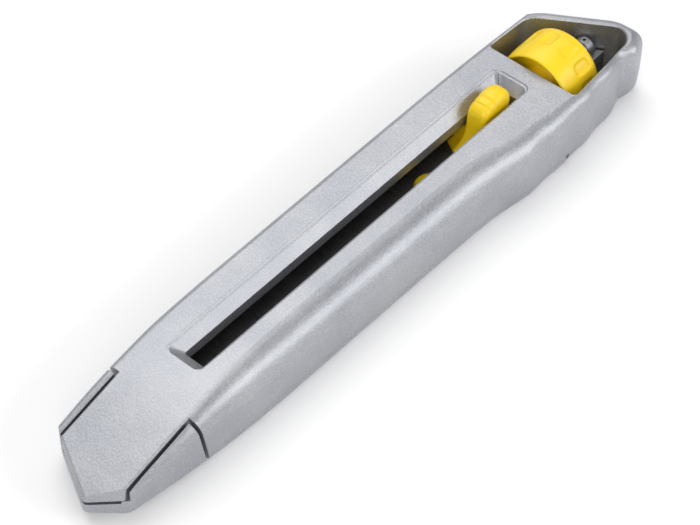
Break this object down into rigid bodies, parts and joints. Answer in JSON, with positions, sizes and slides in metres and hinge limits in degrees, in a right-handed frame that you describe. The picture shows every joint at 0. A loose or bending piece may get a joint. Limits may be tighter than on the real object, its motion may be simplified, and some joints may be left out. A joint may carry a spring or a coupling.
{
  "type": "utility knife",
  "caption": "Snap-off utility knife with a die-cast body, sliding thumb button and a thumb wheel that clamps the cover at the tail.",
  "frame": {"origin": "on the flat back that the knife rests on, at mid-length, on the blade's centre line", "axes": "+X along the knife to the blade exit, +Y to the cutting-edge side with the finger stop, +Z out of the face with the slot"},
  "size_m": [0.1752, 0.0296, 0.0201],
  "materials": {
    "shell": "satin fine-blasted zinc-alloy casting",
    "yellow": "semi-gloss moulded",
    "blade_steel": "dark oiled carbon steel, ground edge",
    "steel": "turned bright steel",
    "spring_steel": "tempered strip and wire",
    "brass": "turned"
  },
  "bodies": {
    "base": {"lower_shell": "shell", "ratchet_strip": "spring_steel", "ratchet_rivets": "steel", "locating_dowels": "steel", "spindle": "steel", "spindle_clip": "spring_steel", "spindle_roll_pin": "steel"},
    "cover": {"upper_shell": "shell", "pressure_spring": "spring_steel", "pressure_spring_rivet": "steel"},
    "slider": {"blade": "blade_steel", "blade_carrier": "yellow", "button_pin": "steel", "lock_spring": "spring_steel", "lock_rivets": "steel", "return_spring": "spring_steel"},
    "button": {"slider_button": "yellow"},
    "wheel_carriage": {"thrust_washer": "steel"},
    "wheel": {"thumb_wheel": "yellow", "wheel_insert": "brass"}
  },
  "joints": [
    {"name": "blade_slide", "type": "slide", "parent": "base", "child": "slider", "axis": [1, 0, 0], "range_m": [-0.001, 0.088], "deforming": ["lock_spring"]},
    {"name": "button_press", "type": "hinge", "parent": "slider", "child": "button", "pos_m": [-0.047, 0, 0.0086], "axis": [0, 1, 0], "range_deg": [0, 4], "stiffness_Nm_per_rad": 0.06, "springref_deg": -2.86, "deforming": ["return_spring"]},
    {"name": "wheel_turn", "type": "hinge", "parent": "wheel_carriage", "child": "wheel", "pos_m": [-0.067, 0.0013, 0.0101], "axis": [1, 0, 0], "range_deg": [-720, 0]},
    {"name": "wheel_advance", "type": "slide", "parent": "base", "child": "wheel_carriage", "axis": [1, 0, 0], "range_m": [-0.0025, 0]},
    {"name": "cover_open", "type": "hinge", "parent": "base", "child": "cover", "pos_m": [0.0876, 0, 0.0066], "axis": [0, 1, 0], "range_deg": [0, 25]}
  ],
  "couplings": [
    {"joint": "wheel_turn", "follows": "wheel_advance", "rad_per_m": 5026.5}
  ]
}
